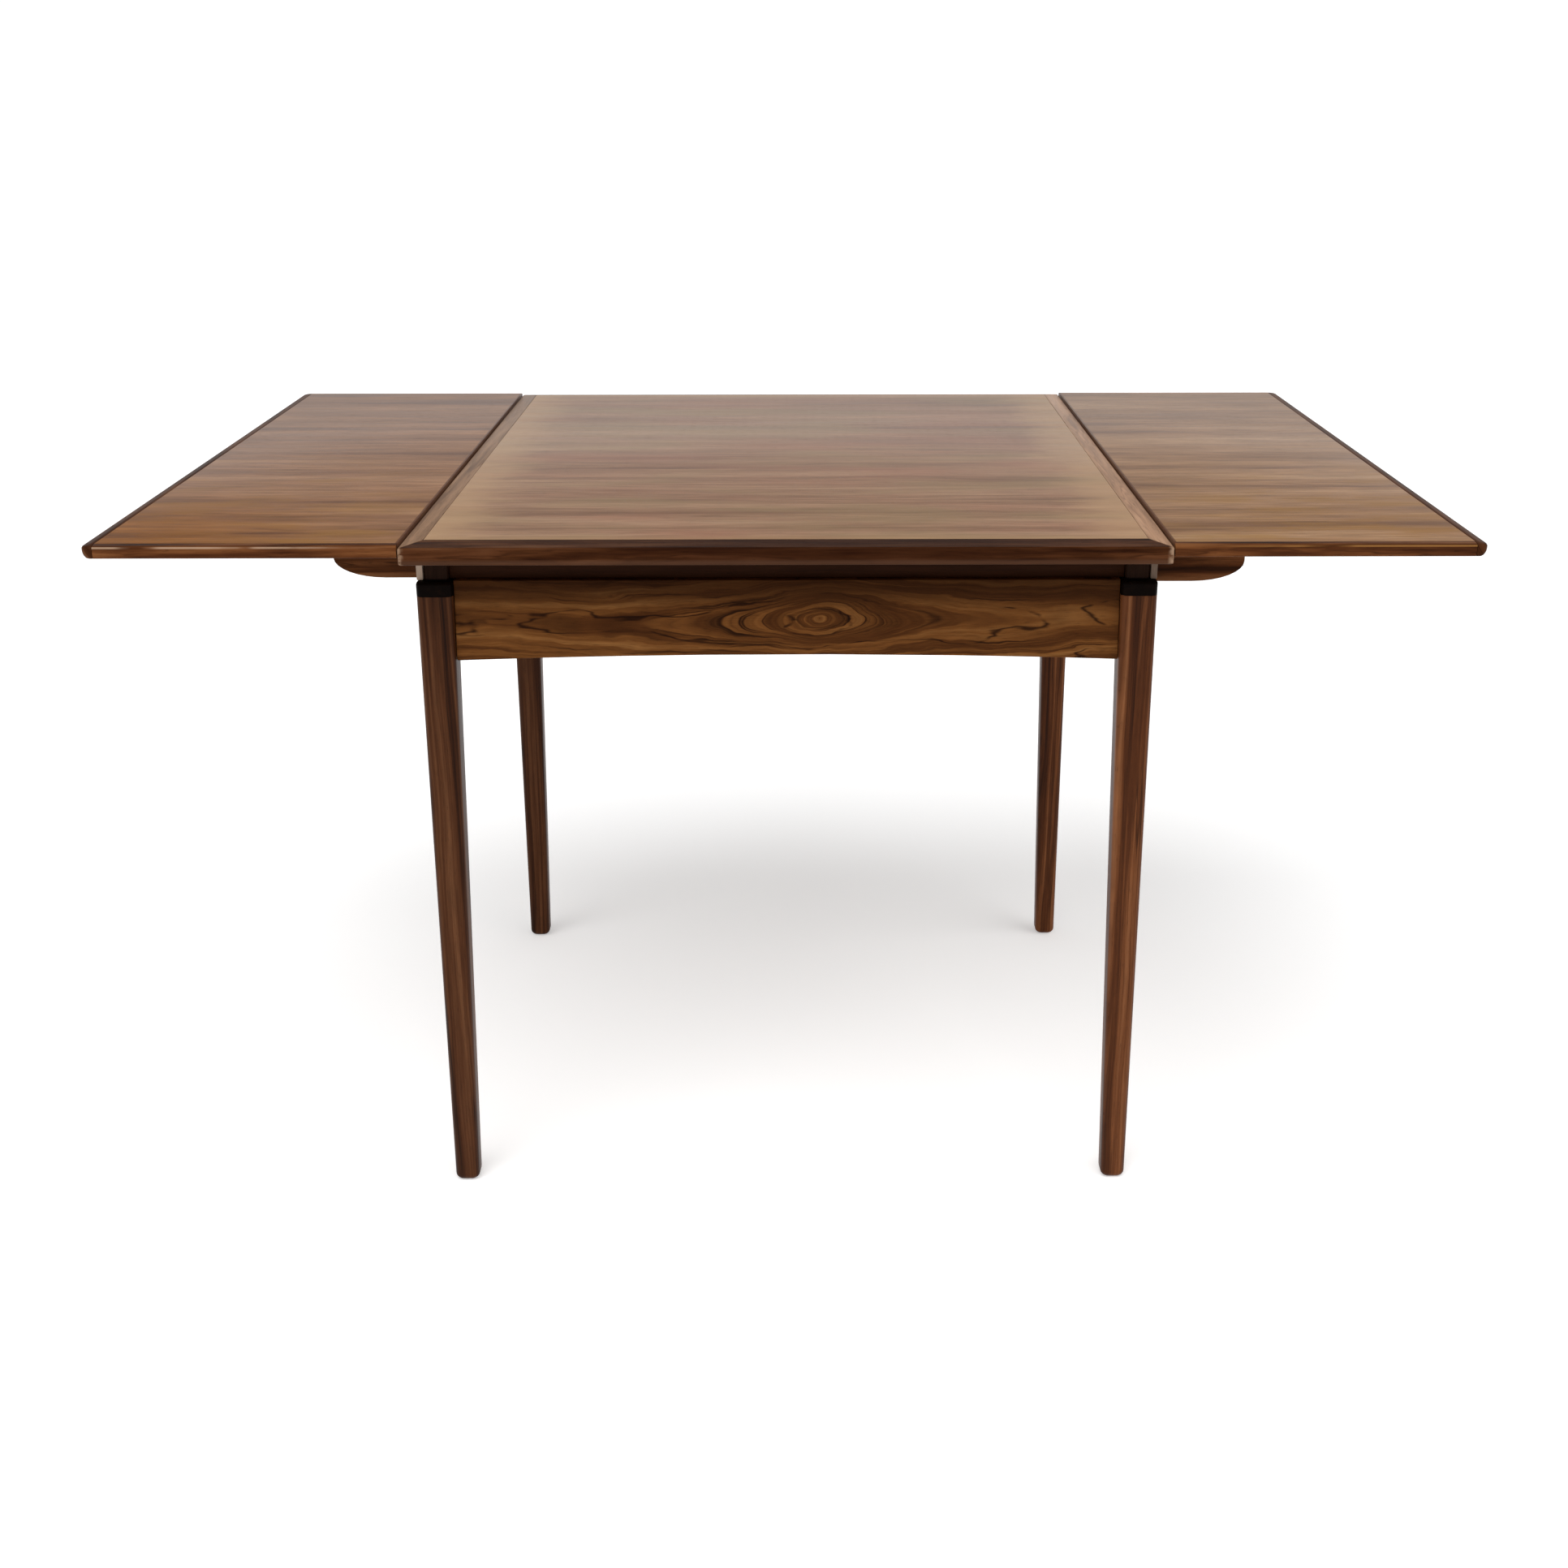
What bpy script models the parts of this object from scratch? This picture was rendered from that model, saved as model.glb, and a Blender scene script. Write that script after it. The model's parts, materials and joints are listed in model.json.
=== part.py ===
"""Extending dining table in rosewood: a loose square top on a leg frame, with a pulled-out leaf at each end.

Blender 4.5, metres, +Z up. The origin is on the floor under the middle of the table. X runs along the
table from leaf to leaf and Y from front to back. Turned half round about Z the table looks the same, so
each right-hand piece is made once and its left-hand twin is that piece turned.
"""

import math

import bmesh
import bpy
from mathutils import Matrix, Vector

# Table as a whole
table_height = 0.730
top_width = 0.700
top_depth = 0.800
top_thickness = 0.0194
leaf_length = 0.284
leaf_thickness = 0.0126

# Clearances
seat_gap = 0.0003
glue_gap = 0.0002
leaf_joint_gap = 0.001
slide_clearance = 0.0005
peg_clearance = 0.001
cut_overrun = 0.002

# Solid lips round the top, which slope down to its edge
lip_width = 0.020
lip_drop = 0.0028
lip_radius = 0.002

# Solid lips round a leaf
leaf_lip_width = 0.008
leaf_lip_drop = 0.0008
leaf_end_drop = 0.0012
leaf_radius = 0.0025
leaf_corner_radius = 0.008
leaf_end_lip_width = 0.011
leaf_end_under = 0.007
leaf_end_round = 0.0075

# Legs, which taper and splay a little
leg_top_width = 0.0355
leg_foot_width = 0.0255
leg_inset_x = 0.0102
leg_inset_y = 0.1138
leg_splay_x = 0.0088
leg_splay_y = 0.0075
leg_top_radius = 0.007
foot_round = 0.008
foot_land = 0.001

# Black collar on each leg, and the neck on it that holds the top clear of the frame
neck_rise = 0.042
collar_height = 0.0149
collar_round = 0.004
neck_width = 0.024
neck_radius = 0.004
neck_inset = 0.0015

# Aprons, with an arched lower edge, and the recessed rails above them
apron_depth = 0.0812
apron_arch = 0.0055
apron_setback = 0.007
apron_thickness = 0.020
rail_setback = 0.007
rail_thickness = 0.014

# Runners that carry a leaf: a deep block under the leaf and a slimmer bar into the frame
runner_thickness = 0.017
runner_gap = 0.0015
runner_leg_gap = 0.00245
runner_sink = 0.0106
runner_shoulder_gap = 0.001
runner_block_length = 0.0955
runner_round_length = 0.050
runner_round_height = 0.020
runner_overlap = 0.020
leaf_slack = 0.008

# Guide blocks beside the necks
guide_thickness = 0.006

# Board across the middle, which keeps the runners' inner ends down
board_width = 0.120
board_thickness = 0.013

# Pegs: two long ones under the top and a short stop in each runner
peg_radius = 0.008
peg_length = 0.048
peg_chamfer = 0.002
peg_seat_depth = 0.008
peg_runner_gap = 0.0425
stop_radius = 0.004
stop_drop = 0.008
stop_seat_depth = 0.014
stop_gap = 0.0005

# Screws that fix the runners to a leaf
screw_radius = 0.002
screw_head_radius = 0.004
screw_head_height = 0.003
screw_head_rim = 0.0005
screw_bite = 0.007
screw_length = 0.0321
screw_hole_radius = 0.0024
counterbore_radius = 0.005
screw_end_margin = 0.017

# Corner blocks, and the bolt, washer and nut in each
block_reach = 0.050
block_height = 0.044
block_clearance = 0.006
bolt_radius = 0.003
bolt_depth_in_leg = 0.012
bolt_stub = 0.006
nut_radius = 0.0065
nut_height = 0.005
washer_radius = 0.009
washer_height = 0.0015
bolt_hole_play = 0.0005

# Heights and edges that follow from the sizes above
top_underside = table_height - top_thickness
leaf_underside = table_height - leaf_thickness
leaf_inner = top_width / 2 + leaf_joint_gap
leaf_outer = leaf_inner + leaf_length
support_top = top_underside - seat_gap
apron_top = top_underside - neck_rise
apron_bottom = apron_top - apron_depth
collar_top = apron_top
leg_height = apron_top - collar_height
leg_top_x = top_width / 2 - leg_inset_x
leg_top_y = top_depth / 2 - leg_inset_y
leg_foot_x = leg_top_x + leg_splay_x
leg_foot_y = leg_top_y + leg_splay_y
neck_x = leg_top_x - neck_inset
neck_y = leg_top_y - neck_inset
apron_face_x = leg_top_x + leg_top_width / 2 - apron_setback
apron_face_y = leg_top_y + leg_top_width / 2 - apron_setback
rail_face_y = apron_face_y - rail_setback
board_bottom = support_top - board_thickness
runner_bottom = apron_top - runner_sink
runner_outer_y = leg_top_y - leg_top_width / 2 - runner_leg_gap
runner_inner_y = runner_outer_y - runner_thickness - runner_gap
peg_y = runner_inner_y - runner_thickness - peg_runner_gap - peg_radius
runner_block_inner = leaf_inner + runner_shoulder_gap
runner_block_outer = runner_block_inner + runner_block_length
runner_bar_top = board_bottom - slide_clearance
notch_floor = runner_bottom - slide_clearance
guide_inner_x = neck_x + neck_width / 2 + seat_gap
block_top = runner_bottom - stop_drop - block_clearance
block_bottom = block_top - block_height

arc_steps = 4
turned_sides = 16
arch_steps = 16
sharp_angle = math.radians(35)


def painted(name, colour, roughness, metallic=0):
    """A Principled material."""
    material = bpy.data.materials.new(name)
    material.use_nodes = True
    shader = material.node_tree.nodes["Principled BSDF"]
    shader.inputs["Base Color"].default_value = (*colour, 1)
    shader.inputs["Roughness"].default_value = roughness
    shader.inputs["Metallic"].default_value = metallic
    return material


def finish(bm, name, colour, turned=False, body=None):
    """Makes an object of a bmesh, turned half round about Z where it is a left-hand twin."""
    if turned:
        bmesh.ops.rotate(bm, cent=(0, 0, 0), matrix=Matrix.Rotation(math.pi, 3, "Z"), verts=bm.verts)
    bmesh.ops.recalc_face_normals(bm, faces=bm.faces)
    mesh = bpy.data.meshes.new(name)
    bm.to_mesh(mesh)
    bm.free()
    mesh.shade_smooth()
    mesh.set_sharp_from_angle(angle=sharp_angle)
    made = bpy.data.objects.new(name, mesh)
    made.data.materials.append(painted(name, *colour))
    bpy.context.scene.collection.objects.link(made)
    if body:
        made.parent = body
        made.matrix_parent_inverse = Matrix.Translation(-body.location)
    return made


def cut(target, bm, name, turned=False):
    """Cuts a closed bmesh out of an object with a live Boolean."""
    cutter = finish(bm, f"{target.name}_{name}", cutter_colour, turned)
    cutter.hide_render = True
    cutter.display_type = "WIRE"
    boolean = target.modifiers.new(name, "BOOLEAN")
    boolean.operation = "DIFFERENCE"
    boolean.object = cutter


def moving_body(name, place):
    """An empty on a sliding body's axis, which its pieces are parented to."""
    empty = bpy.data.objects.new(name, None)
    empty.location = Vector(place)
    bpy.context.scene.collection.objects.link(empty)
    return empty


def skinned(rings):
    """Bmesh skinned over a stack of closed rings of points, with both ends closed."""
    bm = bmesh.new()
    layers = [[bm.verts.new(point) for point in ring] for ring in rings]
    for lower, upper in zip(layers, layers[1:]):
        for i, corner in enumerate(lower):
            j = (i + 1) % len(lower)
            bm.faces.new((corner, lower[j], upper[j], upper[i]))
    bm.faces.new(layers[0][::-1])
    bm.faces.new(layers[-1])
    return bm


def extruded(outline, axis, low, high):
    """Bmesh of an outline in the two other axes, extruded along one axis."""
    def placed(pair, along):
        values = list(pair)
        values.insert(axis, along)
        return values

    return skinned([[placed(pair, along) for pair in outline] for along in (low, high)])


def box(low, high):
    outline = [(low[0], low[1]), (high[0], low[1]), (high[0], high[1]), (low[0], high[1])]
    return extruded(outline, 2, low[2], high[2])


def turned_bar(start, direction, profile):
    """Bmesh turned about a line: the profile lists a radius and a distance along the line."""
    across = direction.orthogonal().normalized()
    upward = direction.cross(across)
    spokes = [2 * math.pi * side / turned_sides for side in range(turned_sides)]
    return skinned([
        [
            start + direction * along + radius * (across * math.cos(spoke) + upward * math.sin(spoke))
            for spoke in spokes
        ]
        for radius, along in profile
    ])


def upright(x, y, profile):
    """Bmesh turned about an upright line: the profile lists a radius and a height."""
    return turned_bar(Vector((x, y, 0)), Vector((0, 0, 1)), profile)


def arc(centre, radius, start, end, steps=arc_steps):
    """Points of an arc between two angles in degrees."""
    angles = [math.radians(start + (end - start) * step / steps) for step in range(steps + 1)]
    return [(centre[0] + radius * math.cos(a), centre[1] + radius * math.sin(a)) for a in angles]


def rounded_square(x, y, width, radius, z):
    """Ring of a level square with round corners."""
    reach = width / 2 - radius
    ring = []
    for turn, (across, along) in enumerate(((1, 1), (-1, 1), (-1, -1), (1, -1))):
        centre = (x + across * reach, y + along * reach)
        ring += [(*point, z) for point in arc(centre, radius, turn * 90, turn * 90 + 90)]
    return ring


def lip_section(width, drop, radius, low, high):
    """Section of a lip as distances in from the edge and heights."""
    lower_edge = arc((radius, low + radius), radius, 270, 180)
    upper_edge = arc((radius, high - drop - radius), radius, 180, 90)
    return lower_edge + upper_edge + [(width, high), (width, low)]


def make_top_lip(name, along_x, side, body):
    """A lip with mitred ends on one side of the top."""
    half_run, edge = top_width / 2, top_depth / 2
    if not along_x:
        half_run, edge = edge, half_run
    rings = []
    for end in (-1, 1):
        ring = []
        for inward, z in lip_section(lip_width, lip_drop, lip_radius, top_underside, table_height):
            run = end * (half_run - inward - glue_gap)
            across = side * (edge - inward)
            ring.append((run, across, z) if along_x else (across, run, z))
        rings.append(ring)
    finish(skinned(rings), f"top_lip_{name}", edging, body=body)


def make_top(body):
    """The loose top: a veneered panel in four lips, with two locating pegs under it."""
    half_x = top_width / 2 - lip_width - seat_gap
    half_y = top_depth / 2 - lip_width - seat_gap
    panel = box((-half_x, -half_y, top_underside), (half_x, half_y, table_height))
    panel = finish(panel, "top_panel", veneer, body=body)
    make_top_lip("front", True, -1, body)
    make_top_lip("back", True, 1, body)
    make_top_lip("left", False, -1, body)
    make_top_lip("right", False, 1, body)
    peg_top = top_underside + peg_seat_depth
    for name, end in (("front", -1), ("back", 1)):
        y = end * peg_y
        profile = (
            (peg_radius - peg_chamfer, peg_top - peg_length),
            (peg_radius, peg_top - peg_length + peg_chamfer),
            (peg_radius, peg_top),
        )
        finish(upright(0, y, profile), f"top_peg_{name}", beech, body=body)
        radius = peg_radius + seat_gap
        hole = upright(0, y, ((radius, top_underside - cut_overrun), (radius, peg_top + seat_gap)))
        cut(panel, hole, f"hole_{name}")


def leaf_end_ring(end_inward, side_inward, height_of):
    """Plan of a leaf's end lip, drawn in from its end and sides, with heights that follow the way out along X."""
    lip_inner = leaf_outer - leaf_end_lip_width
    radius = max(leaf_corner_radius - end_inward, seat_gap)
    half = top_depth / 2 - side_inward
    centre_x = leaf_outer - end_inward - radius
    plan = [(lip_inner, -half)]
    plan += arc((centre_x, -half + radius), radius, -90, 0)
    plan += arc((centre_x, half - radius), radius, 0, 90)
    plan.append((lip_inner, half))
    return [(x, y, height_of((x - lip_inner) / leaf_end_lip_width)) for x, y in plan]


def make_leaf_end_lip(name, turned, body):
    """The lip across a leaf's outer end, rounded well under, which meets the side lips in their section."""
    def under(out_share):
        return leaf_radius + (leaf_end_round - leaf_radius) * out_share

    def bevel(out_share):
        return table_height - leaf_lip_drop - (leaf_end_drop - leaf_lip_drop) * out_share

    rings = []
    for inward, rise in arc((1, 1), 1, 270, 180, 2 * arc_steps):
        rings.append(leaf_end_ring(
            leaf_end_under * inward,
            leaf_radius * inward,
            lambda share, rise=rise: leaf_underside + under(share) * rise,
        ))
    for inward, rise in arc((leaf_radius, -leaf_radius), leaf_radius, 180, 90):
        rings.append(leaf_end_ring(inward, inward, lambda share, rise=rise: bevel(share) + rise))
    rings.append(leaf_end_ring(leaf_lip_width, leaf_lip_width, lambda share: table_height))
    finish(skinned(rings), f"leaf_{name}_lip_end", edging, turned, body)


def runner_outline():
    """Side view of a runner: the bar inside the frame, a shoulder, and the block under the leaf."""
    seat = leaf_underside - seat_gap
    round_start = runner_block_outer - runner_round_length
    outline = [(-runner_overlap, runner_bar_top), (-runner_overlap, runner_bottom)]
    for across, up in arc((0, 0), 1, 270, 360, 2 * arc_steps):
        outline.append((
            round_start + runner_round_length * across,
            runner_bottom + runner_round_height * (1 + up),
        ))
    outline += [(runner_block_outer, seat), (runner_block_inner, seat), (runner_block_inner, runner_bar_top)]
    return outline


def make_runner(leaf_name, end_name, y, turned, body, panel):
    """A runner with its stop peg, and the two screws that fix it under the leaf's panel."""
    name = f"runner_{leaf_name}_{end_name}"
    half = runner_thickness / 2
    runner = finish(extruded(runner_outline(), 1, y - half, y + half), name, frame_wood, turned, body)

    stop_x = apron_face_x - apron_thickness - leaf_slack - stop_gap - stop_radius
    stop_low, stop_high = runner_bottom - stop_drop, runner_bottom + stop_seat_depth
    stop = upright(stop_x, y, ((stop_radius, stop_low), (stop_radius, stop_high)))
    finish(stop, f"stop_peg_{leaf_name}_{end_name}", beech, turned, body)
    radius = stop_radius + seat_gap
    hole = upright(stop_x, y, ((radius, runner_bottom - cut_overrun), (radius, stop_high + seat_gap)))
    cut(runner, hole, "stop_hole", turned)

    tip = leaf_underside + screw_bite
    shank = tip - screw_length
    places = (
        ("inner", runner_block_inner + screw_end_margin),
        ("outer", runner_block_outer - runner_round_length + screw_end_margin),
    )
    for place, x in places:
        screw = upright(x, y, (
            (screw_head_radius, shank),
            (screw_head_radius, shank + screw_head_rim),
            (screw_radius, shank + screw_head_height),
            (screw_radius, tip),
        ))
        finish(screw, f"screw_{leaf_name}_{end_name}_{place}", zinc, turned, body)
        bore = upright(x, y, (
            (counterbore_radius, runner_bottom - cut_overrun),
            (counterbore_radius, shank),
            (screw_hole_radius, shank + screw_head_height),
            (screw_hole_radius, leaf_underside + cut_overrun),
        ))
        cut(runner, bore, f"screw_hole_{place}", turned)
        radius = screw_hole_radius
        bite = upright(x, y, ((radius, leaf_underside - cut_overrun), (radius, tip + seat_gap)))
        cut(panel, bite, f"bite_{end_name}_{place}", turned)


def make_leaf(name, side):
    """A leaf with its lips and its two runners."""
    turned = side < 0
    body = moving_body(f"leaf_{name}", (side * (leaf_inner + leaf_length / 2), 0, leaf_underside))
    lip_start = leaf_outer - leaf_end_lip_width - seat_gap
    half = top_depth / 2 - leaf_lip_width - seat_gap
    panel = box((leaf_inner, -half, leaf_underside), (lip_start, half, table_height))
    panel = finish(panel, f"leaf_{name}_panel", veneer, turned, body)
    section = lip_section(leaf_lip_width, leaf_lip_drop, leaf_radius, leaf_underside, table_height)
    for end in (-1, 1):
        outline = [(end * (top_depth / 2 - inward), z) for inward, z in section]
        lip_name = f"leaf_{name}_lip_{end_names[end * side]}"
        finish(extruded(outline, 0, leaf_inner, lip_start), lip_name, edging, turned, body)
    make_leaf_end_lip(name, turned, body)
    outer_y = runner_outer_y - runner_thickness / 2
    inner_y = runner_inner_y - runner_thickness / 2
    make_runner(name, end_names[-side], -outer_y, turned, body, panel)
    make_runner(name, end_names[side], inner_y, turned, body, panel)


def leg_share(z):
    return z / leg_height


def leg_width(z):
    return leg_foot_width + (leg_top_width - leg_foot_width) * leg_share(z)


def leg_place(z):
    """Where a leg's middle is at a height, as distances out along X and Y."""
    share = leg_share(z)
    return leg_foot_x + (leg_top_x - leg_foot_x) * share, leg_foot_y + (leg_top_y - leg_foot_y) * share


def make_leg(name, side, end):
    """A tapered leg with a rounded foot."""
    def section(z, inward):
        x, y = leg_place(z)
        radius = foot_round + foot_land + (leg_top_radius - foot_round - foot_land) * leg_share(z)
        return rounded_square(side * x, end * y, leg_width(z) - 2 * inward, radius - inward, z)

    foot = arc((foot_round, foot_round), foot_round, 270, 180)
    rings = [section(z, inward) for inward, z in foot]
    rings.append(section(leg_height, 0))
    return finish(skinned(rings), f"leg_{name}", frame_wood)


def make_neck(name, side, end):
    """The black collar on a leg, with the neck on it."""
    x, y = side * leg_top_x, end * leg_top_y
    rings = [rounded_square(x, y, leg_top_width, leg_top_radius, leg_height + seat_gap)]
    for inward, z in arc((collar_round, collar_top - collar_round), collar_round, 180, 90):
        width = leg_top_width - 2 * inward
        rings.append(rounded_square(x, y, width, leg_top_radius - inward, z))
    for z in (collar_top, support_top):
        rings.append(rounded_square(side * neck_x, end * neck_y, neck_width, neck_radius, z))
    finish(skinned(rings), f"neck_{name}", black)


def apron_outline(along_x):
    """Face of an apron, its ends against the tapered legs and its lower edge an arch."""
    axis = 0 if along_x else 1

    def reach(z):
        return leg_place(z)[axis] - leg_width(z) / 2 - seat_gap

    low, high = reach(apron_bottom), reach(leg_height)
    outline = [(low, apron_bottom), (high, leg_height), (high, apron_top)]
    outline += [(-high, apron_top), (-high, leg_height), (-low, apron_bottom)]
    for step in range(1, arch_steps):
        along = low * (2 * step / arch_steps - 1)
        outline.append((along, apron_bottom + apron_arch * (1 - (along / low) ** 2)))
    return outline


def make_cross_apron(name, side):
    """The front or back apron, and the recessed rail on it between the necks."""
    ys = sorted((side * apron_face_y, side * (apron_face_y - apron_thickness)))
    finish(extruded(apron_outline(True), 1, *ys), f"apron_{name}", frame_wood)
    reach = neck_x - neck_width / 2 - seat_gap
    ys = sorted((side * rail_face_y, side * (rail_face_y - rail_thickness)))
    rail = box((-reach, ys[0], apron_top + seat_gap), (reach, ys[1], support_top))
    finish(rail, f"rail_{name}", dark_wood)


def make_side_apron(name, side):
    """A side apron with a notch for each runner, and the rail that guides the runners."""
    turned = side < 0
    face = extruded(apron_outline(False), 0, apron_face_x - apron_thickness, apron_face_x)
    apron = finish(face, f"apron_{name}", frame_wood, turned)
    inner = apron_face_x - apron_thickness - cut_overrun
    outer = apron_face_x + cut_overrun
    near = runner_outer_y - runner_thickness - slide_clearance
    notch = box((inner, -leg_top_y, notch_floor), (outer, -near, apron_top + cut_overrun))
    cut(apron, notch, "front_notch", turned)
    low = runner_inner_y - runner_thickness - slide_clearance
    high = runner_inner_y + slide_clearance
    notch = box((inner, low, notch_floor), (outer, high, apron_top + cut_overrun))
    cut(apron, notch, "back_notch", turned)
    rail = box(
        (apron_face_x - rail_thickness, -near, apron_top + seat_gap), (apron_face_x, low, support_top)
    )
    finish(rail, f"rail_{name}", dark_wood, turned)


def make_guides(side_name, side):
    """The two blocks on a side, between a neck and the runner's outer cheek."""
    outer = neck_y + neck_width / 2
    for end, cheek in ((-1, runner_outer_y), (1, runner_inner_y)):
        ys = sorted((end * (cheek + slide_clearance), end * outer))
        block = box(
            (guide_inner_x, ys[0], collar_top + seat_gap),
            (guide_inner_x + guide_thickness, ys[1], support_top),
        )
        finish(block, f"guide_block_{end_names[end * side]}_{side_name}", guide_wood, side < 0)


def make_centre_board():
    """The board between the front and back rails, with a hole for each of the top's pegs."""
    reach = rail_face_y - rail_thickness - seat_gap
    half = board_width / 2
    board = finish(box((-half, -reach, board_bottom), (half, reach, support_top)), "centre_board", beech)
    radius = peg_radius + peg_clearance
    for name, end in (("front", -1), ("back", 1)):
        low, high = board_bottom - cut_overrun, support_top + cut_overrun
        hole = upright(0, end * peg_y, ((radius, low), (radius, high)))
        cut(board, hole, f"hole_{name}")


def make_corner(name, side, end, leg):
    """The block in a corner of the frame, and the bolt with its nut and washer that holds the leg to it."""
    wall_x = apron_face_x - apron_thickness - seat_gap
    wall_y = apron_face_y - apron_thickness - seat_gap
    leg_x, leg_y = (out - leg_width(block_top) / 2 - seat_gap for out in leg_place(block_top))
    plan = [
        (leg_x, wall_y),
        (leg_x - block_reach, wall_y),
        (wall_x, leg_y - block_reach),
        (wall_x, leg_y),
        (leg_x, leg_y),
    ]
    plan = [(side * x, end * y) for x, y in plan]
    block = finish(extruded(plan, 2, block_bottom, block_top), f"corner_block_{name}", beech)

    height = (block_bottom + block_top) / 2
    face = (Vector((*plan[1], height)) + Vector((*plan[2], height))) / 2
    to_leg = Vector((*plan[4], height)) - face
    inward = to_leg.normalized()
    reach = to_leg.length + bolt_depth_in_leg
    nut = -(seat_gap + washer_height)
    bolt = turned_bar(face, inward, (
        (bolt_radius, nut - nut_height - bolt_stub),
        (bolt_radius, nut - nut_height),
        (nut_radius, nut - nut_height),
        (nut_radius, nut),
        (washer_radius, nut),
        (washer_radius, -seat_gap),
        (bolt_radius, -seat_gap),
        (bolt_radius, reach),
    ))
    finish(bolt, f"corner_bolt_{name}", zinc)
    radius = bolt_radius + bolt_hole_play
    for piece in (block, leg):
        hole = turned_bar(face, inward, ((radius, -cut_overrun), (radius, reach + seat_gap)))
        cut(piece, hole, "bolt_hole")


for old in list(bpy.data.objects):
    bpy.data.objects.remove(old)

# Colours with their roughness, and metallic where it isn't 0
veneer = ((0.23, 0.115, 0.055), 0.38)
edging = ((0.12, 0.048, 0.022), 0.36)
frame_wood = ((0.15, 0.062, 0.025), 0.42)
dark_wood = ((0.035, 0.018, 0.010), 0.55)
guide_wood = ((0.20, 0.15, 0.11), 0.55)
black = ((0.008, 0.007, 0.007), 0.35)
beech = ((0.50, 0.33, 0.18), 0.6)
zinc = ((0.62, 0.61, 0.58), 0.35, 1)
cutter_colour = ((1, 0, 1), 0.5)

end_names = {-1: "front", 1: "back"}
side_names = {-1: "left", 1: "right"}

make_top(moving_body("top", (0, 0, top_underside)))
make_centre_board()
for direction, end_name in end_names.items():
    make_cross_apron(end_name, direction)
for direction, side_name in side_names.items():
    make_side_apron(side_name, direction)
    make_guides(side_name, direction)
    make_leaf(side_name, direction)
    for corner_end, end_name in end_names.items():
        corner_name = f"{end_name}_{side_name}"
        corner_leg = make_leg(corner_name, direction, corner_end)
        make_neck(corner_name, direction, corner_end)
        make_corner(corner_name, direction, corner_end, corner_leg)
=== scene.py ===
# Extending dining table in rosewood: the look of every piece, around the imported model.
# Metres, +Z up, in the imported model's own places. X runs from leaf to leaf and Y from front to back.

import json
import math

import bmesh
import bpy
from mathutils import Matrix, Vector

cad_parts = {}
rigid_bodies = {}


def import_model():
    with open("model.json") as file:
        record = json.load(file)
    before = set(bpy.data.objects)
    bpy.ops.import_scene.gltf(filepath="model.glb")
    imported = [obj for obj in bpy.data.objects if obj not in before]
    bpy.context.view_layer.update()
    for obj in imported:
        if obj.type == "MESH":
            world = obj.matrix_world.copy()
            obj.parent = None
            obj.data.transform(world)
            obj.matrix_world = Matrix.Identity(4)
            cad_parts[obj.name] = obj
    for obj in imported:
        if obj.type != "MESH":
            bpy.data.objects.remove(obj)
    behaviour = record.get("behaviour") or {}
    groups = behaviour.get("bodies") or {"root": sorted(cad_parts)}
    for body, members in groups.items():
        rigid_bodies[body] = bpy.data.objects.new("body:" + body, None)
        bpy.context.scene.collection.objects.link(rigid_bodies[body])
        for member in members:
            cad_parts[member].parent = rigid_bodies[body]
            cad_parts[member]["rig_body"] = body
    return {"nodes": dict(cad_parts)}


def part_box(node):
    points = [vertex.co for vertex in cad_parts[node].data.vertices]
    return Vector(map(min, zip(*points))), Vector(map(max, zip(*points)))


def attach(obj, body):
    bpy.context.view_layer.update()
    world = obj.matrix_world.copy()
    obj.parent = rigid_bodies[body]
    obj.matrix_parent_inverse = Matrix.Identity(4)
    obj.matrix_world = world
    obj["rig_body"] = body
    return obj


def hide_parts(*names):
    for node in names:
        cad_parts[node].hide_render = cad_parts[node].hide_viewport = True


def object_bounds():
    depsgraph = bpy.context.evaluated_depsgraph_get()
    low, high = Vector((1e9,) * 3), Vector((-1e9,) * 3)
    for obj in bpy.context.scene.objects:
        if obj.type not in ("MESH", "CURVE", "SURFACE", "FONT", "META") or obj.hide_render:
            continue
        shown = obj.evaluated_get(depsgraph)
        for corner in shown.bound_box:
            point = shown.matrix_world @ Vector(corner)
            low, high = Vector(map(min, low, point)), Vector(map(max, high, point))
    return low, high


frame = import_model()
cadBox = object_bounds()
nodes = frame["nodes"]
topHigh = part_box("top_panel")[1]
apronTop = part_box("apron_front")[1].z
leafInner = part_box("leaf_right_panel")[0].x


# Materials

class Wire:
    # A socket of a material, so that sums on it read as sums
    def __init__(self, paint, socket):
        self.paint = paint
        self.socket = socket

    def maths(self, operation, *values):
        return self.paint.add("ShaderNodeMath", {"operation": operation}, dict(enumerate(values)))

    def __add__(self, other):
        return self.maths("ADD", self, other)

    def __radd__(self, other):
        return self.maths("ADD", other, self)

    def __sub__(self, other):
        return self.maths("SUBTRACT", self, other)

    def __rsub__(self, other):
        return self.maths("SUBTRACT", other, self)

    def __mul__(self, other):
        return self.maths("MULTIPLY", self, other)

    def __rmul__(self, other):
        return self.maths("MULTIPLY", other, self)

    def __truediv__(self, other):
        return self.maths("DIVIDE", self, other)

    def __pow__(self, other):
        return self.maths("POWER", self, other)

    def __abs__(self):
        return self.maths("ABSOLUTE", self)

    def fraction(self):
        return self.maths("FRACT", self)


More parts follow.
